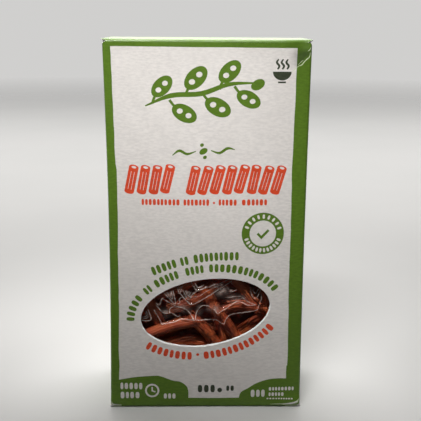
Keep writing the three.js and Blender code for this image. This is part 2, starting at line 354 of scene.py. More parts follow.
def plan(s):
    """Where a point of the blank is in plan, on the straight box."""
    right, front, back = HALF_WIDTH, -HALF_DEPTH, HALF_DEPTH
    lap = back - LAP
    knots = [BLANK_START] + [fold + side for fold in FOLDS for side in (-FOLD, FOLD)] + [BLANK_END]
    knots_x = [GLUE_FLAP - right, FOLD - right, -right, -right, FOLD - right]
    knots_x += [right - FOLD, right, right, right - FOLD, FLAP_OVERHANG - right]
    knots_y = [lap, lap, lap - FOLD, front + FOLD, front, front, front + FOLD, back - FOLD, back, back]
    x, y = np.interp(s, knots, knots_x), np.interp(s, knots, knots_y)
    centres_x = [FOLD - right, FOLD - right, right - FOLD, right - FOLD]
    centres_y = [lap - FOLD, front + FOLD, front + FOLD, back - FOLD]
    for number, (fold, centre_x, centre_y) in enumerate(zip(FOLDS, centres_x, centres_y)):
        turn = math.pi / 2 * (number + 1 + (s - fold + FOLD) / (2 * FOLD))
        near = np.abs(s - fold) < FOLD
        x = np.where(near, centre_x + FOLD * np.cos(turn), x)
        y = np.where(near, centre_y + FOLD * np.sin(turn), y)
    return x, y


def plan_direction(s):
    """The way that s runs in plan, as unit vectors."""
    ahead, behind = plan(s + 0.01), plan(s - 0.01)
    x, y = ahead[0] - behind[0], ahead[1] - behind[1]
    length = np.maximum(np.hypot(x, y), 1e-9)
    return x / length, y / length


# Shallow presses of the front panel: place from its left and its top, reach and depth.
PRESSES = [(10.5, 5.8, 4.5, 0.22), (70, 9, 9, 0.12), (24, 158, 12, 0.15), (80, 150, 10, 0.15)]


def unevenness(s, z):
    """How far the board stands out of its even form: none at the folds and the ends."""
    from_fold = np.min([np.abs(s - fold) for fold in FOLDS], axis=0)
    calm = smooth(1, 14, from_fold) * smooth(2, 16, z) * smooth(2, 16, HEIGHT - z)
    stand = UNEVEN * calm * (ripple(s, z, 46, 3) + 0.4 * ripple(s, z, 17, 4))
    for right, down, reach, depth in PRESSES:
        away = np.hypot(s - right, HEIGHT - z - down) / reach
        stand = stand - depth * np.exp(-(away**2)) * smooth(1, 5, from_fold)
    return stand


def board_outside(s, z):
    """Where points of the blank's outer face are on the filled carton."""
    x, y = plan(s)
    along_x, along_y = plan_direction(s)
    stand = unevenness(s, z)
    return filled(x + along_y * stand, y - along_x * stand, z)


# The end line of the panels, as distances from the carton's end along the blank.
FRONT_END = 1.4
SIDE_END = 2.1
BACK_END = 1.55
SLIT = 1.5  # from an upright fold to the flaps beside it
GLUE_END = 10
BACK_SLIT = 1.1
FOLD_STEP = 0.3  # how far beside an upright fold the end line changes its level

# Each flap: the stretch of the blank that it folds from, the fold's radius, the distance from the
# end at which it starts, how far it reaches, and how much wider than its fold it is on each side.
FLAP_REACH = DEPTH - 1.6
DUST_REACH = 33
FLAPS = {
    "outer": (SLIT, WIDTH - SLIT, 1.4, FRONT_END, FLAP_REACH, 2.0),
    "inner": (BACK + 1.6, BLANK_END - BACK_SLIT, 0.9, BACK_END, FLAP_REACH, 1.2),
    "left": (-DEPTH + SLIT, -SLIT, 0.8, SIDE_END, DUST_REACH, 0.7),
    "right": (WIDTH + SLIT, BACK - SLIT, 0.8, SIDE_END, DUST_REACH, 0.7),
}
COLUMN_STEP = 2.0


def end_line():
    """The blank's end line without its flaps, from left to right, with points where flaps join on."""
    line = [(BLANK_START, GLUE_END), (-DEPTH - FOLD - 0.2, 3.4), (-DEPTH - FOLD, SIDE_END)]
    corners = {
        "left": [(0, SIDE_END), (FOLD_STEP, FRONT_END)],
        "outer": [(WIDTH - FOLD_STEP, FRONT_END), (WIDTH, SIDE_END)],
        "right": [(BACK, SIDE_END), (BACK + FOLD_STEP, BACK_END)],
        "inner": [(BLANK_END, BACK_END)],
    }
    for name, corner in corners.items():
        start, end, _, from_end, _, _ = FLAPS[name]
        line += [(s, from_end) for s in rows_between(start, end, COLUMN_STEP)] + corner
    return line


def flap_points(name, end, share, out):
    """Points of a flap: share runs from -1 to 1 along its fold, and out is the distance from it."""
    start, stop, radius, from_end, _, widening = FLAPS[name]
    first = np.array(plan(np.array(float(start))))
    last = np.array(plan(np.array(float(stop))))
    middle, half = (first + last) / 2, np.linalg.norm(last - first) / 2
    along = (last - first) / (2 * half)
    inward = np.array([-along[1], along[0]])
    turn = np.minimum(out / radius, math.pi / 2)
    reach = radius * (1 - np.cos(turn)) + np.maximum(0, out - math.pi / 2 * radius)
    rise = radius * np.sin(turn)
    sideways = share * (half + widening * smooth(0.3, 2.2, out))
    x = middle[0] + along[0] * sideways + inward[0] * reach
    y = middle[1] + along[1] * sideways + inward[1] * reach
    room = (1 - (x / HALF_WIDTH) ** 2) * (1 - (y / HALF_DEPTH) ** 2)
    up = from_end - rise + SAG * np.clip(room, 0, 1)
    return filled(x, y, HEIGHT - up if end > 0 else up)


def flap_grid(name, end):
    """A flap's points, triangles and flat places, for the top end at 1 and the bottom end at -1."""
    start, stop, radius, _, reach, widening = FLAPS[name]
    fold_end = math.pi / 2 * radius
    outs = np.concatenate([
        np.linspace(0, fold_end, 6),
        rows_between(fold_end, reach - radius + fold_end, 3.2)[1:],
    ])
    share = np.linspace(-1, 1, len(rows_between(start, stop, COLUMN_STEP)))
    grid_out, grid_share = np.meshgrid(outs, share, indexing="ij")
    points = flap_points(name, end, grid_share, grid_out).reshape(-1, 3)
    half = (stop - start) / 2 + widening
    flat = np.stack([(grid_share + 1) * half, grid_out], axis=-1).reshape(-1, 2)
    columns = len(share)
    first = np.arange(len(outs) - 1)[:, None] * columns + np.arange(columns - 1)
    squares = first.reshape(-1, 1) + (0, 1, columns + 1, columns)
    triangles = squares[:, [0, 1, 2, 0, 2, 3]].reshape(-1, 3)
    return points, triangles if end > 0 else triangles[:, [0, 2, 1]], flat


# ---- The print: outlines in mm from a panel's left fold and down from the top ----

# The pale green ink and the white of the cut board also paint the highlights on the crushed lower corners.
INKS = ["green", "paper", "red", "olive", "raw_and_highlight", "scuff_and_highlight"]
print_fields = []  # (ink, outline on the blank), painted in this order


def put(ink, outline, left=0.0):
    """Adds a field of ink with its outline to the blank, beside the panel's left fold."""
    across, down = np.array(outline, float).T
    points = np.column_stack([across + left, HEIGHT - down])
    after = np.roll(points, -1, axis=0)
    clockwise = np.sum(points[:, 0] * after[:, 1] - points[:, 1] * after[:, 0]) < 0
    print_fields.append((ink, points[::-1] if clockwise else points))


def block(start, end, top, bottom):
    """A rectangle's outline."""
    return [(start, top), (end, top), (end, bottom), (start, bottom)]


def turned(points, centre, degrees):
    """Turns points about a centre, anticlockwise as seen on the panel."""
    turn = math.radians(degrees)
    x, y = (np.array(points, float) - centre).T
    return np.column_stack([
        centre[0] + x * math.cos(turn) + y * math.sin(turn),
        centre[1] - x * math.sin(turn) + y * math.cos(turn),
    ])


def oval(centre, across, down, tilt=0.0, steps=20, start=0, sweep=360):
    """An ellipse or, with less than a full sweep, a piece of one closed by its chord."""
    angles = np.radians(start + sweep * np.arange(steps + (sweep < 360)) / steps)
    points = np.column_stack([across * np.cos(angles), down * np.sin(angles)]) + centre
    return turned(points, centre, tilt)


def ribbon(points, widths, steps=5):
    """A stroke along a smooth line, with its width given at each point."""
    line = spline(points, steps)
    places = np.linspace(0, len(widths) - 1, len(line))
    half = np.interp(places, range(len(widths)), widths) / 2
    along = unit(np.gradient(line, axis=0))
    side = np.column_stack([along[:, 1], -along[:, 0]]) * half[:, None]
    return np.vstack([line + side, (line - side)[::-1]])


GRAIN_SHARE = 0.72  # of its pitch that a grain is wide


def grain(centre, width, height, tilt=0.0):
    """A small upright field with round ends."""
    angles = np.radians(np.arange(0, 360, 30) + 15)
    across = np.sign(np.cos(angles)) * np.abs(np.cos(angles)) ** 0.6 * width / 2
    down = np.sign(np.sin(angles)) * np.abs(np.sin(angles)) ** 0.8 * height / 2
    return turned(np.column_stack([across, down]) + centre, centre, tilt)


def grains(ink, path, words, height, pitch, left=0.0, seed=1):
    """Grains that stand in for small print, along a line to the right or at one level.

    Each word is given by where it starts and ends across the panel."""
    rng = random.Random(seed)
    path = np.array(path if np.ndim(path) else [(0, path), (WIDTH, path)], float)
    lengths = np.concatenate([[0], np.cumsum(np.linalg.norm(np.diff(path, axis=0), axis=1))])

    def place_at(distance):
        return np.array([np.interp(distance, lengths, path[:, k]) for k in (0, 1)])

    for first, last in words:
        begin, end = np.interp([first, last], path[:, 0], lengths)
        count = max(1, round((end - begin) / pitch))
        shares = np.array([rng.uniform(0.85, 1.15) for _ in range(count)])
        edges = begin + (end - begin) * np.concatenate([[0], np.cumsum(shares)]) / shares.sum()
        for low, high in zip(edges, edges[1:]):
            centre, ahead = place_at((low + high) / 2), place_at((low + high) / 2 + 0.5)
            tilt = math.degrees(math.atan2(centre[1] - ahead[1], ahead[0] - centre[0]))
            tall = height * rng.uniform(0.92, 1.0)
            put(ink, grain(centre, (high - low) * GRAIN_SHARE, tall, tilt), left)


def sprig(centre, scale, tilt, left=0.0):
    """A sprig with rounded pods on both sides of its stem, each with two seeds."""
    def place(points):
        return turned(np.array(points, float) * scale + centre, centre, tilt)

    stem = [(-26.5, 3.0), (-14, 0.2), (0, 1.4), (13, -0.8), (25, 0.4)]
    put("green", place(ribbon(stem, [0.6, 2.2, 2.3, 1.9, 0.7])), left)
    for number, x in enumerate([-23, -15, -7.5, 0.5, 8.5, 15.5]):
        side = 1 if number % 2 else -1
        size = 1.0 - 0.04 * abs(number - 2.5)
        root = np.array([x, 1.2 - 0.05 * x])
        middle = root + np.array([6.2, side * 7.6]) * size
        stalk = [root, root + np.array([1.4, side * 2.6]), middle - np.array([2.4, side * 2.2])]
        put("green", place(ribbon(stalk, [1.3, 1.2, 1.3])), left)
        lean = -side * 36
        put("green", place(oval(middle, 6.6 * size, 4.1 * size, lean, steps=28)), left)
        for shift in (-2.5, 2.3):
            seed_middle = turned([middle + np.array([shift * size, 0])], middle, lean)[0]
            put("paper", place(oval(seed_middle, 1.5 * size, 1.3 * size, 0, steps=14)), left)
    put("green", place(oval((26.2, 1.4), 3.4, 2.3, 20, steps=20)), left)


def bowl(ink, centre, size, left=0.0):
    """A small bowl with three lines of steam."""
    x, y = centre
    put(ink, oval((x, y), size, size * 0.92, start=0, sweep=180, steps=16), left)
    foot = size * 0.42
    put(ink, block(x - foot, x + foot, y + size * 1.02, y + size * 1.2), left)
    for shift in (-0.5, 0, 0.5):
        base = x + shift * size
        wave = [(base, y - size * 0.25), (base + size * 0.16, y - size * 0.6)]
        wave += [(base - size * 0.1, y - size * 0.95), (base + size * 0.08, y - size * 1.3)]
        put(ink, ribbon(wave, [0.16 * size, 0.23 * size, 0.23 * size, 0.12 * size]), left)


def clock(ink, ground, centre, radius, left=0.0):
    """A round dial with two hands."""
    x, y = centre
    put(ink, oval(centre, radius, radius * 1.05, steps=24), left)
    put(ground, oval(centre, radius * 0.74, radius * 0.78, steps=24), left)
    long_hand = [(x, y + radius * 0.1), (x, y - radius * 0.55)]
    short_hand = [(x - radius * 0.1, y), (x + radius * 0.45, y + radius * 0.2)]
    for hand in (long_hand, short_hand):
        put(ink, ribbon(hand, [radius * 0.2, radius * 0.2], 1), left)


def tick(ink, centre, size, left=0.0):
    shape = [(-1, 0), (-0.72, -0.3), (-0.25, 0.22), (0.8, -0.85), (1.05, -0.55), (-0.22, 0.8)]
    put(ink, np.array(centre) + size * np.array(shape), left)


# The off-white panel with its hand-cut edges and the two hills that rise at its foot.
LEFT_EDGE = [(3.75, 3.25), (4.0, 45), (4.1, 57), (4.7, 59.5), (4.5, 80), (4.15, 104), (4.4, 130),
             (4.1, 150), (4.5, 158.5), (4.2, 165.9)]
RIGHT_EDGE = [(87.7, 165.2), (87.75, 158.6), (88.3, 157.8), (88.25, 140), (87.9, 112), (88.1, 88),
              (87.8, 60), (88.4, 3.75)]
LEFT_HILL = [(38.9, 175.6), (38.9, 172), (38, 169), (34.9, 166.6), (31, 165.9), (25, 163.7), (21.7, 163.5),
             (13, 164.2), (4.2, 165.9)]
RIGHT_HILL = [(87.7, 165.3), (84.2, 165.1), (78.6, 165.6), (73, 167.5), (68.6, 170.3), (65.2, 172.5),
              (64.2, 175.6)]


def rough_edge(rng, start, end, step=4.0, reach=0.1):
    """Points of an edge that was cut by hand, without its end."""
    start, end = np.array(start, float), np.array(end, float)
    count = max(1, round(np.linalg.norm(end - start) / step))
    points = [start + (end - start) * k / count for k in range(count)]
    return [p + (rng.uniform(-reach, reach), rng.uniform(-reach, reach)) for p in points]


def rough_outline(rng, corners, step=4.0, reach=0.1):
    """Rough edges from corner to corner, without the last corner."""
    edges = [rough_edge(rng, *ends, step, reach) for ends in zip(corners, corners[1:])]
    return [point for edge in edges for point in edge]


def front_panel_field():
    """The off-white field, with its rough edges and the hills cut out of its foot."""
    rng = random.Random(21)
    outline = rough_outline(rng, LEFT_EDGE)
    outline += list(spline(LEFT_HILL[::-1], 4))
    outline += rough_edge(rng, LEFT_HILL[0], RIGHT_HILL[-1], 5, 0.12)[1:]
    outline += list(spline(RIGHT_HILL[::-1], 4))[:-1]
    outline += rough_outline(rng, RIGHT_EDGE)
    outline += rough_edge(rng, RIGHT_EDGE[-1], LEFT_EDGE[0], 8, 0.06)
    put("paper", outline)


TITLE_LEVEL = 64.0
TITLE_LEAN = 76  # degrees from level
TITLE_GROUPS = [(11.6, 4), (41.1, 8)]  # the first tube's place across the panel, and how many
TITLE_PITCH = 5.75
TITLE_TUBE = {"half_length": 5.9, "radius": 2.3, "bore": 1.15, "flatness": 0.5, "ridges": (-0.8, 0.75)}


def title_tube(across, level, lean):
    """A drawn tube of pasta: its ridged side and its open near end, in red."""
    size = TITLE_TUBE
    centre = np.array([across, level])
    half, radius, flat = size["half_length"], size["radius"], size["flatness"]
    ends = [
        oval(centre + (side * half, 0), radius * flat, radius, start=-90 * side, sweep=180, steps=10)
        for side in (-1, 1)
    ]
    put("red", turned(np.vstack(ends), centre, lean))
    bore = oval(centre + (half, 0), size["bore"] * flat, size["bore"], steps=14)
    put("paper", turned(bore, centre, lean))
    for height in size["ridges"]:
        ridge = block(1.0 - half, half - 2.2, height - 0.11, height + 0.11)
        put("paper", turned(np.array(ridge) + centre, centre, lean))


def title():
    """Two rows of leaning tubes."""
    rng = random.Random(5)
    for start, count in TITLE_GROUPS:
        for k in range(count):
            level = TITLE_LEVEL + rng.uniform(-0.35, 0.35)
            title_tube(start + k * TITLE_PITCH, level, TITLE_LEAN + rng.uniform(-3, 3))


def ornament():
    """A green divider: a seed between two waved strokes."""
    put("green", ribbon([(31.2, 52.6), (34.5, 50.4), (38.2, 51.9), (42.4, 50.6)], [0.3, 1.3, 1.2, 0.4]))
    put("green", ribbon([(49.4, 50.2), (53.4, 51.4), (57.2, 49.2), (60.6, 49.8)], [0.4, 1.2, 1.3, 0.3]))
    put("green", oval((45.9, 50.6), 2.1, 1.35, 30))
    put("green", oval((45.2, 47.7), 0.95, 0.8, 30, steps=12))
    put("green", oval((46.6, 53.4), 0.95, 0.8, 30, steps=12))


def badge():
    """A ring with short dashes round a tick."""
    x, y = 74.6, 90
    put("green", oval((x, y), 10.2, 10.2, steps=48))
    put("paper", oval((x, y), 6.4, 6.4, steps=36))
    for start, sweep, count in ((202, 140, 9), (22, 138, 12)):
        for k in range(count):
            angle = math.radians(start + sweep * k / (count - 1))
            place = np.array([x + 8.3 * math.cos(angle), y + 8.3 * math.sin(angle)])
            put("paper", grain(place, 1.15, 2.1, -math.degrees(angle) - 90))
    tick("green", (x, y + 0.4), 3.0)


def window_curve(grow, first, last, steps=80):
    """Points of the window's outline moved outwards, between two angles from its right tip upwards."""
    angles = np.radians(np.linspace(first, last, steps))
    centre = np.array([WINDOW["x"] + HALF_WIDTH, HEIGHT - WINDOW["z"]])
    along = (WINDOW["half_width"] + grow) * np.cos(angles)
    up = (WINDOW["half_height"] + grow) * np.sin(angles)
    return turned(np.column_stack([along, -up]) + centre, centre, WINDOW["tilt"])


def front_print():
    """The front panel's print, with a row of grains in place of each line of text."""
    front_panel_field()
    sprig(np.array([44.6, 22.8]), 1.0, 9)
    bowl("olive", (81.7, 14.2), 4.3)
    ornament()
    title()
    grains("red", 74.8, [(16, 34.8), (36.2, 49)], 3.1, 1.95, seed=31)
    put("red", oval((51, 75.0), 0.6, 0.6, steps=10))
    grains("red", 74.8, [(53, 62), (64, 76.5)], 3.1, 1.95, seed=32)
    badge()
    upper = spline([(20, 109.4), (31, 105.2), (42, 102.5), (53, 101.2), (64, 101)], 8)
    grains("green", upper, [(20.5, 33), (34.6, 39), (41, 63.5)], 4.5, 2.6, seed=33)
    words = [(9.2, 15.2), (17, 20.4), (22, 34), (37, 46.5), (48.5, 81.8)]
    grains("green", window_curve(5.25, 178, 10), words, 4.3, 2.75, seed=34)
    grains("red", window_curve(5.4, 205, 358), [(18, 41), (46, 80)], 4.4, 2.9, seed=35)
    put("red", oval((43.5, 151.6), 0.75, 0.75, steps=12))
    grains("paper", [(0, 169.3), (50, 169.0)], [(4.6, 16.2)], 3.7, 2.3, seed=36)
    grains("paper", [(0, 174.3), (50, 174.0)], [(4.6, 14.8)], 3.7, 2.5, seed=37)
    clock("paper", "green", (20.8, 171.6), 3.6)
    grains("paper", [(0, 174.7), (50, 174.6)], [(26.3, 32.8)], 3.1, 2.1, seed=38)
    grains("olive", 170.4, [(43.2, 52.6)], 4.4, 3.1, seed=39)
    put("olive", oval((54.6, 171.2), 1.2, 1.3, steps=14))
    grains("olive", 170.2, [(57.6, 62)], 3.3, 2.2, seed=40)
    grains("paper", 173.2, [(69.8, 77.6)], 4.2, 2.6, seed=41)
    grains("paper", [(0, 171), (99, 170.8)], [(79, 92)], 2.1, 1.6, seed=42)
    grains("paper", [(0, 174), (99, 173.8)], [(79, 87)], 2.1, 1.6, seed=43)
    grains("paper", [(0, 176.4), (99, 176.2)], [(78, 91.6)], 0.8, 1.3, seed=44)


# Light lines where the board is creased at the bent corner, and then highlights painted on the crushed lower
# corners: ink, points, and the line's width at each.
CREASE_AND_HIGHLIGHT_MARKS = [
    ("scuff_and_highlight", [(85.8, 14.7), (87.6, 12.9), (89.3, 11.5), (90.4, 11.2), (92.2, 9.0), (93.8, 7.6), (94.3, 5.6)],
     [0.08, 0.26, 0.18, 0.42, 0.34, 0.46, 0.24]),
    ("scuff_and_highlight", [(93.0, 5.0), (94.0, 4.3), (94.6, 3.4)], [0.12, 0.36, 0.2]),
    ("scuff_and_highlight", [(88.9, 11.1), (90.3, 9.6), (91.2, 9.1)], [0.08, 0.2, 0.08]),
    # Highlights painted on the crushed lower corners, pale with white cores
    ("scuff_and_highlight", [(0.3, 177.4), (0.8, 178.7), (2.0, 179.3), (5.2, 179.45)], [0.15, 0.9, 0.6, 0.2]),
    ("raw_and_highlight", [(0.4, 178.4), (1.4, 179.1), (4, 179.45)], [0.3, 0.6, 0.15]),
    ("scuff_and_highlight", [(80.0, 179.45), (86.5, 179.2), (90.5, 178.7), (93.4, 177.8), (94.6, 176.2)],
     [0.1, 0.5, 1.0, 1.3, 0.3]),
    ("raw_and_highlight", [(86.5, 179.3), (91, 178.7), (93.8, 177.5)], [0.15, 0.7, 0.45]),
]


WORD_LENGTHS = (4, 10)
WORD_GAP = 1.1
TEXT_PITCH = 1.9


def text_rows(left, across, down, rows, step, height, seed):
    """Rows of small print, with a short one at the end of every four."""
    rng = random.Random(seed)
    start, full = across
    for row in range(rows):
        end = full if row % 4 != 3 else start + (full - start) * rng.uniform(0.4, 0.7)
        words, place = [], start
        while place < end - 2:
            stop = min(end, place + rng.uniform(*WORD_LENGTHS))
            words.append((place, stop))
            place = stop + WORD_GAP
        grains("olive", down + row * step, words, height, TEXT_PITCH, left, seed + row)


RULE = 0.35  # thickness of a table's lines


def side_print(left, seed):
    """A narrow panel: an off-white field with a heading, rows of small print and a ruled table."""
    rng = random.Random(seed)
    corners = [(4.5, 9), (4.7, 150), (41.3, 149.5), (41.5, 9.2), (4.5, 9)]
    put("paper", rough_outline(rng, corners, 7, 0.12), left)
    grains("red", 16, [(9, 25), (27.5, 37)], 4.0, 2.9, left, seed + 1)
    text_rows(left, (8, 38), 25, 9, 3.6, 1.3, seed + 2)
    for row in range(10):
        level = 66 + row * 6.2
        put("green", block(8, 38, level, level + RULE), left)
        words = [(9, 9 + rng.uniform(9, 17)), (31, 37)]
        grains("olive", level + 3.2, words, 1.7, TEXT_PITCH, left, seed + 20 + row)
    put("green", block(8, 38, 128, 128 + RULE), left)
    text_rows(left, (8, 38), 133, 4, 3.4, 1.2, seed + 40)


def bars(left, across, down, height):
    """A plain block of upright bars."""
    rng = random.Random(12)
    put("paper", block(across - 2, across + 29, down - 2, down + height + 2), left)
    place = across
    while place < across + 26:
        width = rng.choice([0.35, 0.35, 0.7, 1.0])
        put("olive", block(place, place + width, down, down + height), left)
        place += width + rng.choice([0.4, 0.7, 1.0])


def back_print():
    """The back panel: a sprig, a heading, rows of small print and three round signs."""
    rng = random.Random(61)
    corners = [(5, 5), (5.3, 60), (4.8, 120), (5.2, 171), (90, 171.5), (90.3, 110), (89.8, 50),
               (90.1, 4.6), (5, 5)]
    put("paper", rough_outline(rng, corners, 6, 0.12), BACK)
    sprig(np.array([47.0, 21.0]), 0.72, 4, BACK)
    grains("red", 37, [(17, 39), (42, 61), (64, 78)], 5.0, 3.3, BACK, 62)
    text_rows(BACK, (11, 84), 46, 8, 4.2, 1.5, 63)
    for number, across in enumerate((21, 47.5, 74)):
        middle = (across, 95)
        put("green", oval(middle, 10, 10, steps=40), BACK)
        put("paper", oval(middle, 8.9, 8.9, steps=36), BACK)
        if number == 0:
            bowl("green", middle, 4.6, BACK)
        if number == 1:
            clock("green", "paper", middle, 5.0, BACK)
        if number == 2:
            tick("green", middle, 4.0, BACK)
        grains("green", 110, [(across - 8, across + 8)], 2.4, 2.2, BACK, 80 + number)
    text_rows(BACK, (11, 84), 118, 9, 4.0, 1.4, 90)
    put("green", block(11, 84, 156.8, 157.2), BACK)
    text_rows(BACK, (11, 84), 161, 2, 4.2, 1.5, 120)


front_print()
side_print(-DEPTH, 140)
side_print(WIDTH, 240)
bars(WIDTH, 9, 157, 12)
back_print()
for ink, points, widths in CREASE_AND_HIGHLIGHT_MARKS:
    put(ink, ribbon(points, widths, 3))


# ---- The carton as one folded sheet of board ----

# Where each stretch of the board lies on the baked picture: left and top in pixels, pixels a mm.
ATLAS_SIZE = 1024
ATLAS = {
    "glue": (1006, 4, 1.0), "left": (745, 4, 2.7), "front": (4, 4, 4.85), "right": (876, 4, 2.7),
    "back": (480, 4, 2.7), "inside": (4, 905, 0.6), "rim": (210, 900, 3.0),
    "outer1": (480, 505, 2.7), "outer-1": (750, 505, 2.7),
    "inner1": (480, 645, 1.2), "inner-1": (604, 645, 1.2),
    "left1": (730, 645, 1.2), "left-1": (792, 645, 1.2),
    "right1": (854, 645, 1.2), "right-1": (916, 645, 1.2),
}
FLAP_BACKS = (480, 730, 0.6)  # the first of eight places for the flaps' hidden sides
FLAP_BACK_STEP = 66
RIM_COLUMNS = 80  # squares in a row of the rims' place

WINDOW_POINTS = 144  # on the window's outline
OUTLINE_CLEARANCE = 0.5  # from the outlines to the points between them
MARK_STEP = 0.7  # between the places on the outlines that it is measured from


def on_atlas(name, across, down):
    left, top, scale = ATLAS[name]
    return np.stack([(left + across * scale) / ATLAS_SIZE, 1 - (top + down * scale) / ATLAS_SIZE], axis=-1)


def grid_points():
    """Points between the outlines: closer on the front and at the folds and the crushed corners."""
    columns = [fold + FOLD * step for fold in FOLDS for step in (-1, -0.5, 0.5, 1)]
    ends = [BLANK_START, *FOLDS, BLANK_END]
    for start, end, step in zip(ends, ends[1:], (3, 2.6, 1.75, 2.6, 2.6)):
        columns += list(rows_between(start + FOLD + 0.9, end - FOLD - 0.9, step))
    rows = [*rows_between(2.6, 10, 1.05), *rows_between(11.5, 170, 1.95)]
    rows += list(rows_between(171.2, HEIGHT - 2.6, 1.1))
    return np.array([(s, z) for s in columns for z in rows])


def fold_lines():
    rows = [*rows_between(SIDE_END, 10, 1.3), *rows_between(12, 168, 2.6)]
    rows += list(rows_between(170, HEIGHT - SIDE_END, 1.3))
    return [[(fold, z) for z in rows] for fold in FOLDS]


def blank_fields():
    """The blank's fields, each on top of those before it: (ink, outline), with the window last."""
    top = [(s, HEIGHT - from_end) for s, from_end in reversed(end_line())]
    right = [(BLANK_END, z) for z in rows_between(4, HEIGHT - 4, 2.6)]
    left = [(BLANK_START, z) for z in rows_between(HEIGHT - GLUE_END - 4, GLUE_END + 4, 4)]
    border = np.array([*end_line(), *right, *top, *left])
    hole = window_curve(0, 0, 360, WINDOW_POINTS + 1)[:-1]
    angles = np.linspace(0, 2 * math.pi, WINDOW_POINTS + 1)[:-1]
    lower_share = smooth(-0.4, 0.4, -np.sin(angles))
    grown = window_curve(1, 0, 360, WINDOW_POINTS + 1)[:-1] - hole
    bevel = hole + grown * (BEVEL_LEAST + (BEVEL - BEVEL_LEAST) * lower_share)[:, None]
    fields = [("green", border), *print_fields]
    for ink, outline in (("raw_and_highlight", bevel), ("hole", hole)):
        fields.append((ink, np.column_stack([outline[:, 0], HEIGHT - outline[:, 1]])))
    return fields


def clear_of(outlines, points):
    """Those of the points that lie clear of the outlines."""
    marks = []
    for outline in outlines:
        for a, b in zip(outline, np.roll(outline, -1, axis=0)):
            count = max(1, math.ceil(np.linalg.norm(b - a) / MARK_STEP))
            marks += [(*(a + (b - a) * k / count), 0) for k in range(count)]
    near = KDTree(len(marks))
    for mark in marks:
        near.insert(mark, 0)
    near.balance()
    return [p for p in points if near.find((*p, 0))[2] > OUTLINE_CLEARANCE]


def blank_triangles():
    """The blank without its flaps: points (s, z), triangles, and each triangle's ink."""
    fields = blank_fields()
    points, faces, edges = [], [], []
    for _, outline in fields:
        faces.append(list(range(len(points), len(points) + len(outline))))
        points += list(outline)
    for line in fold_lines():
        edges += [(k, k + 1) for k in range(len(points), len(points) + len(line) - 1)]
        points += line
    points += clear_of([outline for _, outline in fields], grid_points())
    flat, _, triangles, _, _, owners = delaunay_2d_cdt([Vector(p) for p in points], edges, faces, 0, 1e-5)
    flat = np.array([tuple(p) for p in flat])
    tops = [fields[max(owner)][0] if owner else "hole" for owner in owners]
    kept = np.array([triangle for triangle, ink in zip(triangles, tops) if ink != "hole"])
    inks = np.array([INKS.index(ink) for ink in tops if ink != "hole"])
    a, b, c = flat[kept].transpose(1, 0, 2)
    turn = (b[:, 0] - a[:, 0]) * (c[:, 1] - a[:, 1]) - (b[:, 1] - a[:, 1]) * (c[:, 0] - a[:, 0])
    kept[turn < 0] = kept[turn < 0][:, ::-1]
    solid = np.abs(turn) > 1e-7
    return flat, kept[solid], inks[solid]


def window_share(s, z):
    """1 on the window's outline, less inside it, on the blank."""
    tilt = math.radians(WINDOW["tilt"])
    right, up = s - HALF_WIDTH - WINDOW["x"], z - WINDOW["z"]
    along = right * math.cos(tilt) + up * math.sin(tilt)
    across = up * math.cos(tilt) - right * math.sin(tilt)
    return np.hypot(along / WINDOW["half_width"], across / WINDOW["half_height"])


def panel_uv(flat, triangles):
    """Where the panels' two faces lie on the baked picture, corner by corner of each triangle."""
    across, down = flat[triangles][..., 0], HEIGHT - flat[triangles][..., 1]
    middle = across.mean(axis=1)
    uv = np.zeros((*across.shape, 2))
    ends = [BLANK_START, *FOLDS, BLANK_END]
    for name, start, end in zip(("glue", "left", "front", "right", "back"), ends, ends[1:]):
        chosen = (middle >= start) & (middle < end)
        uv[chosen] = on_atlas(name, across[chosen] - start, down[chosen])
    return uv, on_atlas("inside", across - BLANK_START, down)


def flap_inks(name, end, corners):
    """A flap's inks: green, but with highlights painted on the ends of the fold under the front panel."""
    inks = np.zeros(len(corners), int)
    if name == "outer" and end < 0:
        across, out = corners.mean(axis=1).T
        from_right = corners[..., 0].max() - across
        # Highlights painted on the ends of the bottom fold, where the crushed corners catch the light
        corner_highlight = (out < 1.9) & ((across + 1.3 * out < 5) | (from_right + 2 * out < 8))
        inks[corner_highlight] = INKS.index("scuff_and_highlight")
    return inks


def thick_sheet(points, triangles, inks, uv_out, uv_in):
    """Gives the folded sheet its thickness, with rims along its free edges."""
    keys = np.round(points * 1e4).astype(np.int64)
    _, first, where = np.unique(keys, axis=0, return_index=True, return_inverse=True)
    points, triangles = points[first], where.ravel()[triangles]
    inside = points - vertex_normals(points, triangles) * BOARD
    count = len(points)
    starts, ends = np.concatenate([triangles[:, [0, 1]], triangles[:, [1, 2]], triangles[:, [2, 0]]]).T
    free = ~np.isin(starts.astype(np.int64) * count + ends, ends.astype(np.int64) * count + starts)
    starts, ends = starts[free], ends[free]
    rims = np.column_stack([ends, starts, starts + count, ends + count])
    cells = np.arange(len(rims))
    corner = np.stack([cells % RIM_COLUMNS, cells // RIM_COLUMNS], axis=-1)[:, None, :]
    places = corner + np.array([(0.1, 0.1), (0.9, 0.1), (0.9, 0.9), (0.1, 0.9)])[None]
    uv_rim = on_atlas("rim", places[..., 0], places[..., 1])
    faces = [*triangles, *(triangles[:, ::-1] + count), *rims]
    kinds = [*inks, *[len(INKS)] * len(triangles), *[INKS.index("raw_and_highlight")] * len(rims)]
    uv = np.concatenate([uv_out.reshape(-1, 2), uv_in[:, ::-1].reshape(-1, 2), uv_rim.reshape(-1, 2)])
    return np.vstack([points, inside]), faces, kinds, uv


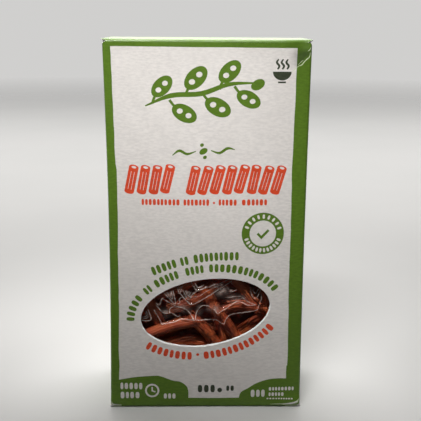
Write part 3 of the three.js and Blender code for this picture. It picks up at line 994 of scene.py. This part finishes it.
def carton_sheet(materials):
    """The folded blank with its eight flaps, as one piece."""
    flat, triangles, inks = blank_triangles()
    points = board_outside(flat[:, 0], flat[:, 1])
    on_edge = np.abs(window_share(flat[:, 0], flat[:, 1]) - 1) < 1e-3
    under = WINDOW["z"] - flat[:, 1] + (flat[:, 0] - HALF_WIDTH) * BEVEL_SLANT
    points[on_edge, 1] += BEVEL_SINK * smooth(*BEVEL_EASE, under)[on_edge]
    parts = [(points, triangles, inks, *panel_uv(flat, triangles))]
    count = len(points)
    for number, (name, end) in enumerate((n, e) for n in FLAPS for e in (1, -1)):
        points, triangles, flat = flap_grid(name, end)
        corners = flat[triangles]
        left, top, scale = FLAP_BACKS
        ATLAS["back_of_flap"] = (left + number * FLAP_BACK_STEP, top, scale)
        uv = [on_atlas(side, corners[..., 0], corners[..., 1]) for side in (f"{name}{end}", "back_of_flap")]
        parts.append((points, triangles + count, flap_inks(name, end, corners), *uv))
        count += len(points)
    points, faces, kinds, uv = thick_sheet(*[np.concatenate(part) for part in zip(*parts)])
    piece = make_mesh("carton_board", points, faces, kinds, materials, uv)
    piece.data.set_sharp_from_angle(angle=math.radians(BOARD_SHARP))
    # The shade painted on the bent corner, which the inks read
    mark_points(piece, "corner_shade_mark", painted_corner_shade_at(*points.T))
    return piece


# ---- The pasta ----


def tube_line(start, middle, end, depth, steps=14):
    """Centre line of a piece of pasta that shows, in mm."""
    t = np.linspace(0, 1, steps)[:, None]
    a, b, c = (np.array([x - HALF_WIDTH, HEIGHT - y], float) for x, y in (start, middle, end))
    places = a * (1 - t) * (1 - 2 * t) + b * 4 * t * (1 - t) + c * t * (2 * t - 1)
    return filled(places[:, 0], np.full(steps, depth - HALF_DEPTH), places[:, 1])


def random_line(rng, depth, steps=14):
    """Centre line of a piece deeper down: somewhere behind the window, gently bent."""
    length = rng.uniform(*TUBE_LENGTHS)
    bend = rng.uniform(-1, 1) / TUBE_BEND
    turn = rng.uniform(0, math.pi)
    dip = rng.uniform(-0.16, 0.16)
    x, z = rng.uniform(-37, 37), rng.uniform(27, 77)
    t = np.linspace(-0.5, 0.5, steps) * length
    curve = bend * (t**2 - (length / 2) ** 2 / 3)
    xs = x + t * math.cos(turn) - curve * math.sin(turn)
    zs = z + t * math.sin(turn) + curve * math.cos(turn)
    return filled(xs, depth - HALF_DEPTH + t * dip, zs)


def inside_bag(line):
    (left, right), (bottom, top) = PASTA_SPACE
    low, high = line.min(axis=0), line.max(axis=0)
    return low[0] > left and high[0] < right and low[2] > bottom and high[2] < top


def pasta_lines():
    """Centre lines of all the pieces: the shown ones, then others as near the window as they fit."""
    lines = [tube_line(*piece) for piece in SHOWN_PASTA]
    rng = random.Random(77)
    for _ in range(TUBE_TRIES):
        if len(lines) >= TUBE_COUNT:
            break
        state = rng.getstate()
        for depth in TUBE_DEPTHS:
            rng.setstate(state)
            line = random_line(rng, depth)
            gaps = np.linalg.norm(line[:, None] - np.concatenate(lines)[None], axis=2)
            if gaps.min() > 2 * TUBE_RADIUS + TUBE_SPACING:
                if inside_bag(line):
                    lines.append(line)
                break
    return lines


def tube_mesh(line, turn):
    """Points and faces of one ridged tube with its bore, closed at both cut ends."""
    around = TUBE_RIDGES * 4
    angles = 2 * math.pi * np.arange(around) / around
    radius = TUBE_RADIUS - RIDGE * (0.5 - 0.5 * np.cos(TUBE_RIDGES * angles))
    bore = np.full(around, TUBE_BORE)
    along = unit(np.gradient(line, axis=0))
    side = unit(np.cross(along, TUBE_ASIDE))
    other = np.cross(side, along)
    across, up = np.cos(angles + turn), np.sin(angles + turn)
    rows = range(len(line))
    rings = []
    for ring_radius, row in [(radius, row) for row in rows] + [(bore, row) for row in rows[::-1]]:
        ring = side[row] * (across * ring_radius)[:, None] + other[row] * (up * ring_radius)[:, None]
        rings.append(line[row] + ring)
    faces = []
    for ring in range(len(rings)):
        faces += band(ring * around, (ring + 1) % len(rings) * around, around)
    return np.concatenate(rings), faces


def pasta_tubes(lines, material):
    """All the ridged tubes as one piece."""
    rng = random.Random(9)
    points, faces, count = [], [], 0
    for line in lines:
        tube_points, tube_faces = tube_mesh(line, rng.uniform(0, 1))
        points.append(tube_points)
        faces += (np.array(tube_faces) + count).tolist()
        count += len(tube_points)
    piece = make_mesh("pasta_tubes", np.concatenate(points), faces, materials=[material])
    piece.data.set_sharp_from_angle(angle=math.radians(TUBE_SHARP))
    return piece


# ---- The bag's film and the pasta that fills it out of sight ----


def bag_ring(inset, corner, xs, corner_steps=6, side_step=4.0):
    """A rounded rectangle in plan, anticlockwise, whose front has a point at each of xs."""
    half_x, half_y = HALF_WIDTH - inset, HALF_DEPTH - inset
    flat_x, flat_y = half_x - corner, half_y - corner
    across = rows_between(-flat_y, flat_y, side_step)
    front, right = [(x, -half_y) for x in xs], [(half_x, y) for y in across]
    back, left = [(flat_x, half_y), (-flat_x, half_y)], [(-half_x, y) for y in across[::-1]]
    centres = [(flat_x, -flat_y), (flat_x, flat_y), (-flat_x, flat_y), (-flat_x, -flat_y)]
    ring = []
    for number, (side, (x, y)) in enumerate(zip((front, right, back, left), centres)):
        ring += side
        for k in range(1, corner_steps):
            turn = math.pi / 2 * (number - 1) + math.pi / 2 * k / corner_steps
            ring.append((x + corner * math.cos(turn), y + corner * math.sin(turn)))
    return np.array(ring)


def closed_rings(rings):
    """Points and faces of a closed body through rings of equal length, the bottom one first."""
    count = len(rings[0])
    points = np.concatenate([*rings, [rings[0].mean(axis=0)], [rings[-1].mean(axis=0)]])
    top = (len(rings) - 1) * count
    faces = []
    for start in range(0, top, count):
        faces += band(start, start + count, count)
    for k in range(count):
        n = (k + 1) % count
        faces += [(len(points) - 2, n, k), (len(points) - 1, top + k, top + n)]
    return points, faces


def pillow_ring(ring, z):
    """Draws a ring in towards the bag's flat seams at the top and the bottom."""
    from_end = np.clip(min(z - BAG_LOW, BAG_TOP - z) / BAG_ROUNDING, 0, 1)
    share = SEAM_DEPTH + (1 - SEAM_DEPTH) * math.sqrt(1 - (1 - from_end) ** 2)
    return ring[:, 0] * (SEAM_WIDTH + (1 - SEAM_WIDTH) * share), ring[:, 1] * share


def distance_to(line, x, z):
    """Distance on the panel from points to a line of points."""
    best = np.full(x.shape, 99.0)
    for (ax, az), (bx, bz) in zip(line, line[1:]):
        dx, dz = bx - ax, bz - az
        t = np.clip(((x - ax) * dx + (z - az) * dz) / max(dx * dx + dz * dz, 1e-9), 0, 1)
        best = np.minimum(best, np.hypot(x - ax - t * dx, z - az - t * dz))
    return best


def patches(x, z, places):
    """Soft oval patches, each with its brightness in the middle."""
    total = np.zeros(x.shape)
    for (right, down), (across, up), level in places:
        away = np.hypot((x - right + HALF_WIDTH) / across, (z - HEIGHT + down) / up)
        total = np.maximum(total, level * np.exp(-(away**2)))
    return total


def all_creases():
    """Every crease as its brightness, its points and its size beside its nest's outermost one."""
    creases = [(strength, np.array(points), 1.0) for strength, *points in CREASES]
    for strength, points, count, share in NESTED_CREASES:
        outermost = np.array(points, float)
        middle = (outermost[0] + outermost[-1]) / 2
        for k in range(count):
            inner = middle + (outermost - middle) * share**k
            creases.append((strength * NEST_FADE**k, inner, share**k))
    return creases


def film_depths(lines, x, z):
    """How deep the film lies behind the panel, and how bright the highlights painted on its creases and hazy
    patches are, at a grid of points.
    """
    at_window = 1 - smooth(1.0, 1.35, window_share(x + HALF_WIDTH, z))
    pasta = np.full(x.shape, 99.0)
    for line in lines:
        if line[:, 1].min() > 10 - HALF_DEPTH:
            continue
        for px, py, pz in spline(line, 3):
            depth = py + HALF_DEPTH + bulge_at(px, pz) - TUBE_RADIUS
            away = (x - px) ** 2 + (z - pz) ** 2
            rise = np.sqrt(np.maximum(0, TUBE_RADIUS**2 - away))
            pasta = np.where(rise > 0, np.minimum(pasta, depth + TUBE_RADIUS - rise), pasta)
    above = z - WINDOW["z"]
    upper_left = smooth(8, -8, x - 0.5 * above) * smooth(-6, 6, above)
    slack = BAG_GAP + BOARD + (FILM_SLACK - FILM_LIFT * upper_left - BAG_GAP - BOARD) * at_window
    depth = np.minimum(slack, pasta - TUBE_GAP)
    for _ in range(FILM_PASSES):
        spread = depth.copy()
        spread[1:-1, 1:-1] = (depth[2:, 1:-1] + depth[:-2, 1:-1] + depth[1:-1, 2:] + depth[1:-1, :-2]) / 4
        depth = np.minimum(spread, pasta - TUBE_GAP)
    crumple = facets(x, z, 9, 51) + 0.5 * facets(x, z, 4.2, 52) - 0.75
    depth = depth - (CRUMPLE + CRUMPLE_MORE * upper_left) * crumple * (0.3 + 0.7 * at_window)
    bright = np.zeros(x.shape)
    for strength, points, size in all_creases():
        route = spline([(px - HALF_WIDTH, HEIGHT - py - SIGHT_DROP) for px, py in points], 4)
        away = distance_to(route, x, z)
        ridge = np.maximum(0, 1 - away / (CREASE_FOOT * size))
        depth = depth - CREASE_RISE * size * strength * ridge
        bright = np.maximum(bright, strength * np.exp(-((away / CREASE_HALF) ** 2)))
    bright = np.maximum(bright, patches(x, z, PAINTED_HAZE))
    return np.maximum(FILM_NEAREST, np.minimum(depth, pasta - TUBE_GAP_LEAST)), bright


FINE_STEP = 0.26  # between the film's points at the window
PLAIN_STEP = 1.4  # across the rest of its front
FINE_EDGE = (1.6, 1.2)  # how far the close points run past the window, across and up


def bag_film(lines, material):
    """The clear bag as one closed pillow, with a fine crumpled stretch behind the window."""
    inset = BOARD + BAG_GAP
    flat_half = HALF_WIDTH - inset - BAG_CORNER
    fine_half = WINDOW["half_width"] + FINE_EDGE[0]
    left, right = WINDOW["x"] - fine_half, WINDOW["x"] + fine_half
    xs = np.concatenate([
        rows_between(-flat_half, left, PLAIN_STEP)[:-1],
        rows_between(left, right, FINE_STEP),
        rows_between(right, flat_half, PLAIN_STEP)[1:],
    ])
    leaning = WINDOW["half_width"] * math.sin(math.radians(WINDOW["tilt"]))
    reach = math.hypot(WINDOW["half_height"], leaning) + FINE_EDGE[1]
    low, high = WINDOW["z"] - reach, WINDOW["z"] + reach
    levels = np.concatenate([
        rows_between(BAG_LOW, BAG_LOW + BAG_ROUNDING, 2),
        rows_between(BAG_LOW + BAG_ROUNDING, low, 2.4)[1:-1],
        rows_between(low, high, FINE_STEP),
        rows_between(high, BAG_TOP - BAG_ROUNDING, 4)[1:-1],
        rows_between(BAG_TOP - BAG_ROUNDING, BAG_TOP, 2),
    ])
    ring = bag_ring(inset, BAG_CORNER, xs)
    grid_x, grid_z = np.meshgrid(xs, levels)
    depths, bright = film_depths(lines, grid_x, grid_z)
    rings, marks = [], []
    for row, z in enumerate(levels):
        x, y = pillow_ring(ring, z)
        share = y[0] / ring[0, 1]
        y[:len(xs)] = (depths[row] - HALF_DEPTH) * share
        stand = 0.25 * ripple(x, np.full(x.shape, z) + y, 23, 15)
        stand[:len(xs)] = 0
        rings.append(filled(x, y * (1 - 0.01 * stand), np.full(x.shape, z)))
        marks.append(np.concatenate([bright[row], np.zeros(len(x) - len(xs))]))
    points, faces = closed_rings(rings)
    piece = make_mesh("bag_film", points, faces, materials=[material])
    # The brightness of the highlights painted on the film, for its material
    mark_points(piece, "crease", np.concatenate([*marks, [0, 0]]))
    return piece


CORE_FRONT = 15.0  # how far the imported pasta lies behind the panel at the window
CORE_INSET = 3.4  # and behind every panel elsewhere
CORE_LUMPS = 0.5  # how far its surface waves out and in


def pasta_core(material):
    """The pasta out of sight, as one lumpy body that stands back behind the window."""
    xs = rows_between(-HALF_WIDTH + CORE_INSET + BAG_CORNER, HALF_WIDTH - CORE_INSET - BAG_CORNER, 2)
    ring = bag_ring(CORE_INSET, BAG_CORNER, xs, side_step=2.5)
    levels = rows_between(BAG_LOW + 1, BAG_TOP - 2, 2.2)
    rings = []
    for z in levels:
        x, y = pillow_ring(ring, z)
        behind = 1 - smooth(1.0, 1.5, window_share(x + HALF_WIDTH, z))
        y = np.maximum(y, behind * (CORE_FRONT + HALF_DEPTH) - 2 * HALF_DEPTH)
        lumps = CORE_LUMPS * ripple(x + 0.7 * y, np.full(x.shape, z), 9, 18)
        length = np.maximum(np.hypot(x, y), 1)
        rings.append(filled(x * (1 - lumps / length), y * (1 - lumps / length), np.full(x.shape, z)))
    points, faces = closed_rings(rings)
    return make_mesh("pasta_core", points, faces, materials=[material])


# ---- Materials ----

FLOOR_FADE = (0.5, 2.4)  # in m from the carton, where the floor starts and ends to fade
FLOOR_FRONT = (-0.06, 0.02)  # in m along Y, where the floor goes from giving less light to plain
FLOOR_BOUNCE = (0.2, 0.2, 0.2)  # its colour to all but the camera in front of that
CORNER_SHADE_DARKNESS = 0.75  # how far the ink goes dark where shade is painted on the bent corner


class Nodes:
    """A node tree, with short calls for its nodes."""

    def __init__(self, owner):
        owner.use_nodes = True
        self.nodes = owner.node_tree.nodes
        self.links = owner.node_tree.links

    def feed(self, socket, value):
        """Links a socket to another one, or sets it."""
        if isinstance(value, bpy.types.NodeSocket):
            self.links.new(value, socket)
        elif socket.type == "RGBA":
            socket.default_value = (*value, 1)
        else:
            socket.default_value = value

    def add(self, kind, output, inputs, **settings):
        """Adds a node with its inputs, by name or number, and returns one of its outputs."""
        node = self.nodes.new("ShaderNode" + kind)
        for name, value in settings.items():
            setattr(node, name, value)
        for name, value in inputs.items():
            self.feed(node.inputs[name], value)
        return node.outputs[output]

    def steps(self, value, *stops):
        """A colour ramp: stops are (place, colour)."""
        colour = self.add("ValToRGB", "Color", {"Fac": value})
        ramp = colour.node.color_ramp
        while len(ramp.elements) < len(stops):
            ramp.elements.new(0.5)
        for element, (place, tone) in zip(ramp.elements, stops):
            element.position = place
            element.color = (*tone, 1)
        return colour

    def mix(self, factor, first, second):
        """Two colours mixed by a factor from 0 to 1."""
        return self.add("Mix", 2, {0: factor, 6: first, 7: second}, data_type="RGBA")

    def blend(self, factor, first, second):
        """Two shaders mixed by a factor from 0 to 1."""
        return self.add("MixShader", "Shader", {0: factor, 1: first, 2: second})

    def scaled(self, value, low, high, from_low=0.0, from_high=1.0):
        inputs = {"Value": value, "From Min": from_low, "From Max": from_high}
        return self.add("MapRange", "Result", {**inputs, "To Min": low, "To Max": high})


class Finish(Nodes):
    """A material on the object's own coordinates, in metres."""

    def __init__(self, name):
        self.material = bpy.data.materials.new(name)
        super().__init__(self.material)
        self.shader = self.nodes["Principled BSDF"]
        self.place = self.add("TexCoord", "Object", {})

    def stretched(self, scale):
        return self.add("Mapping", "Vector", {"Vector": self.place, "Scale": scale})

    def noise(self, scale, detail=3, rough=0.55, vector=None):
        inputs = {"Vector": vector or self.place, "Scale": scale, "Detail": detail, "Roughness": rough}
        return self.add("TexNoise", "Fac", inputs)

    def mark(self, name):
        """A value that mark_points gave the piece."""
        return self.add("Attribute", "Fac", {}, attribute_name=name)

    def bump(self, height, distance, strength=1.0):
        return self.add("Bump", "Normal", {"Height": height, "Distance": distance, "Strength": strength})

    def connect(self, **sockets):
        """Links or sets the main shader's sockets, named with _ for a space."""
        for name, value in sockets.items():
            self.feed(self.shader.inputs[name.replace("_", " ")], value)
        return self.material

    def show(self, shader):
        """Makes a shader the material's surface in place of the main one."""
        self.feed(self.nodes["Material Output"].inputs["Surface"], shader)
        return self.material


def shade(colour, factor):
    return tuple(c * factor for c in colour)


def printed(name, colour, streaks, gloss):
    """Ink or bare coating on paperboard, with fine fibres that lie across the panel, and shade painted on the
    bent corner.
    """
    finish = Finish(name)
    fibres = finish.noise(1, 2, 0.5, finish.stretched((430, 430, 1150)))
    clouds = finish.noise(38, 3)
    specks = finish.noise(2600, 2)
    tone = finish.steps(fibres, (0.36, shade(colour, 1 - streaks)), (0.64, shade(colour, 1 + 0.6 * streaks)))
    tone = finish.mix(finish.scaled(clouds, 0, 0.5, 0.35, 0.75), tone, shade(colour, 1 - 0.8 * streaks))
    # Painted shade on the bent corner darkens the ink there.
    tone = finish.mix(finish.scaled(finish.mark("corner_shade_mark"), 0, CORNER_SHADE_DARKNESS), tone, shade(colour, 0.2))
    height = finish.mix(0.35, fibres, specks)
    return finish.connect(
        Base_Color=tone,
        Roughness=finish.scaled(clouds, gloss - 0.05, gloss + 0.07),
        Specular_IOR_Level=0.32,
        Coat_Weight=0.3,
        Coat_Roughness=0.2,
        Normal=finish.bump(height, 0.0001, 0.8),
    )


def bare_board(name, colour):
    """Board without ink or coating, rough with fibres."""
    finish = Finish(name)
    fibres = finish.noise(900, 4, 0.65)
    tone = finish.steps(fibres, (0.3, shade(colour, 0.88)), (0.7, shade(colour, 1.05)))
    return finish.connect(Base_Color=tone, Roughness=0.85, Normal=finish.bump(fibres, 0.00008, 0.7))


def pasta_material(name, light, dark, wet=0.42):
    """Dried pasta from a bronze die: matt, finely rough, in uneven orange-brown."""
    finish = Finish(name)
    clouds = finish.noise(110, 4, 0.6)
    specks = finish.noise(1500, 3, 0.7)
    tone = finish.steps(clouds, (0.34, dark), (0.66, light))
    tone = finish.mix(finish.scaled(specks, 0, 0.45, 0.55, 0.8), tone, shade(dark, 0.6))
    return finish.connect(
        Base_Color=tone,
        Roughness=finish.scaled(specks, wet, wet + 0.16),
        Specular_IOR_Level=0.4,
        Subsurface_Weight=0.08,
        Subsurface_Radius=(0.0012, 0.0005, 0.0003),
        Normal=finish.bump(specks, 0.0001, 0.6),
    )


def film_material():
    """Clear film: see-through with a sharp gloss, and with whitish highlights painted along its creases and
    hazy patches.
    """
    finish = Finish("clear_film")
    wrinkles = finish.noise(700, 3, 0.6)
    normal = finish.bump(wrinkles, 0.00012, 0.7)
    clear = finish.add("BsdfTransparent", "BSDF", {"Color": (0.97, 0.955, 0.95)})
    gloss = finish.add("BsdfGlossy", "BSDF", {"Color": (1, 1, 1), "Roughness": 0.1, "Normal": normal})
    shiny = finish.blend(finish.add("Fresnel", "Fac", {"IOR": 1.22, "Normal": normal}), clear, gloss)
    # The painted highlights: a whitish finish mixed in where the crease marks say.
    broken = finish.scaled(finish.noise(420, 2), 0.4, 1.1, 0.32, 0.6)
    strength = finish.add("Math", "Value", {0: finish.mark("crease"), 1: broken}, operation="MULTIPLY")
    tone = finish.steps(wrinkles, (0.3, (0.85, 0.63, 0.54)), (0.7, (0.97, 0.75, 0.66)))
    finish.connect(Base_Color=tone, Roughness=0.35, Specular_IOR_Level=0.5)
    return finish.show(finish.blend(strength, shiny, finish.shader.outputs["BSDF"]))


def floor_material():
    """Plain and pale, and fading into the surround far from the carton.

    In front of the carton it gives less light back than the camera sees."""
    finish = Finish("pale_floor")
    tone = finish.steps(finish.noise(3, 3), (0.3, (0.56, 0.555, 0.54)), (0.7, (0.6, 0.59, 0.575)))
    along = finish.add("SeparateXYZ", "Y", {"Vector": finish.place})
    seen = finish.add("LightPath", "Is Camera Ray", {})
    bounce = finish.mix(seen, (1, 1, 1), (0, 0, 0))
    in_front = finish.scaled(along, 1, 0, *FLOOR_FRONT)
    tone = finish.mix(finish.mix(in_front, (0, 0, 0), bounce), tone, FLOOR_BOUNCE)
    finish.connect(Base_Color=tone, Roughness=0.75, Specular_IOR_Level=0.1)
    away = finish.add("VectorMath", "Value", {0: finish.place}, operation="LENGTH")
    clear = finish.add("BsdfTransparent", "BSDF", {})
    fade = finish.scaled(away, 0, 1, *FLOOR_FADE)
    return finish.show(finish.blend(fade, finish.shader.outputs["BSDF"], clear))


CARTON_MATERIALS = [
    printed("ink_green", (0.105, 0.198, 0.016), 0.14, 0.42),
    printed("coated_board", (0.8, 0.757, 0.715), 0.08, 0.5),
    printed("ink_red", (0.74, 0.075, 0.024), 0.12, 0.42),
    printed("ink_olive", (0.045, 0.055, 0.03), 0.2, 0.45),
    # These two also paint the highlights on the crushed lower corners.
    bare_board("cut_board_and_highlight", (0.92, 0.91, 0.88)),
    bare_board("scuffed_and_highlit_board", (0.62, 0.7, 0.45)),
    bare_board("board_inside", (0.5, 0.46, 0.4)),
]


# ---- The pieces ----

PASTA_LINES = pasta_lines()
carton = carton_sheet(CARTON_MATERIALS)
shown_pasta = pasta_material("red_lentil_pasta", (0.52, 0.122, 0.036), (0.34, 0.058, 0.025))
tubes = pasta_tubes(PASTA_LINES, shown_pasta)
core = pasta_core(pasta_material("packed_pasta", (0.56, 0.1, 0.046), (0.26, 0.04, 0.023), 0.6))
film = bag_film(PASTA_LINES, film_material())

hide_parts("carton")
for piece, slot in ((tubes, "pasta"), (core, "pasta"), (film, "bag_film")):
    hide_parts("pasta_bag")
for piece in (carton, tubes, core, film):
    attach(piece, "root")


# ---- Floor, light and camera ----

FLOOR_RINGS = (300, 1000, 2600)
FLOOR_SIDES = 48
PALE = (0.63, 0.625, 0.615)
# The surround's light, from the front at 0 to just above the back at 1: place and brightness.
WORLD_LEVELS = ((0.36, 0.02), (0.9, 0.26), (0.965, 0.34), (0.985, 1.0))
WORLD_STRENGTH = 2.4
WORLD_TINT = (1, 0.99, 0.975)
WORLD_BACK = (0, 0.98, 0.2)  # the direction of the brightest part
# Each soft light's place, what it points at, its sizes across and along, its power and its spread.
LIGHTS = {
    "key": ((-90, -230, 430), (-34, -23, 150), (260, 60), 0.145, 34),
    "back": ((0, 700, 1000), (0, 700, 0), (1900, 1200), 7.0, 70),
    "top": ((0, 30, 300), (0, 5, 181), (110, 30), 0.038, 40),
}


def studio_floor():
    angles = 2 * math.pi * np.arange(FLOOR_SIDES) / FLOOR_SIDES
    circle = np.column_stack([np.cos(angles), np.sin(angles), 0 * angles])
    points = np.concatenate([np.zeros((1, 3)), *[radius * circle for radius in FLOOR_RINGS]])
    faces = [(0, low, high) for low, high, _, _ in band(1, 1, FLOOR_SIDES)]
    for start in (1, 1 + FLOOR_SIDES):
        faces += band(start + FLOOR_SIDES, start, FLOOR_SIDES)
    floor = make_mesh("studio_floor", points, faces, materials=[floor_material()])
    floor.location.z = -0.05 * MM


def area_light(name, place, aim, size, power, spread):
    data = bpy.data.lights.new(name, "AREA")
    data.shape = "RECTANGLE"
    data.size, data.size_y = size[0] * MM, size[1] * MM
    data.energy = power
    data.spread = math.radians(spread)
    light = bpy.data.objects.new(name, data)
    light.location = Vector(place) * MM
    light.rotation_euler = (Vector(aim) - Vector(place)).to_track_quat("-Z", "Y").to_euler()
    bpy.context.scene.collection.objects.link(light)


def studio_world():
    """A plain pale surround, whose light comes mostly from above and behind the carton."""
    world = bpy.data.worlds.new("studio")
    tree = Nodes(world)
    place = tree.add("TexCoord", "Generated", {})
    towards = tree.add("VectorMath", "Value", {0: place, 1: WORLD_BACK}, operation="DOT_PRODUCT")
    stops = [(position, [level * share for share in WORLD_TINT]) for position, level in WORLD_LEVELS]
    light = tree.steps(tree.scaled(towards, 0, 1, -1, 1), *stops)
    lighting = tree.add("Background", "Background", {"Color": light, "Strength": WORLD_STRENGTH})
    plain = tree.add("Background", "Background", {"Color": PALE})
    shown = tree.blend(tree.add("LightPath", "Is Camera Ray", {}), lighting, plain)
    tree.feed(tree.nodes["World Output"].inputs["Surface"], shown)
    bpy.context.scene.world = world


def photo_camera():
    data = bpy.data.cameras.new("photo_camera")
    data.sensor_width = SENSOR
    data.lens = FOCAL_PIXELS / PICTURE_SIZE * SENSOR
    data.clip_start = 0.01
    camera = bpy.data.objects.new("photo_camera", data)
    camera.matrix_world = Matrix.Translation(Vector(CAMERA_PLACE) * MM)
    for degrees, axis in ((CAMERA_YAW, "Z"), (90 - CAMERA_PITCH, "X"), (CAMERA_ROLL, "Z")):
        camera.matrix_world @= Matrix.Rotation(math.radians(degrees), 4, axis)
    bpy.context.scene.collection.objects.link(camera)
    bpy.context.scene.camera = camera


studio_floor()
studio_world()
for name, settings in LIGHTS.items():
    area_light(name, *settings)
photo_camera()
bpy.context.scene.view_settings.view_transform = "Standard"
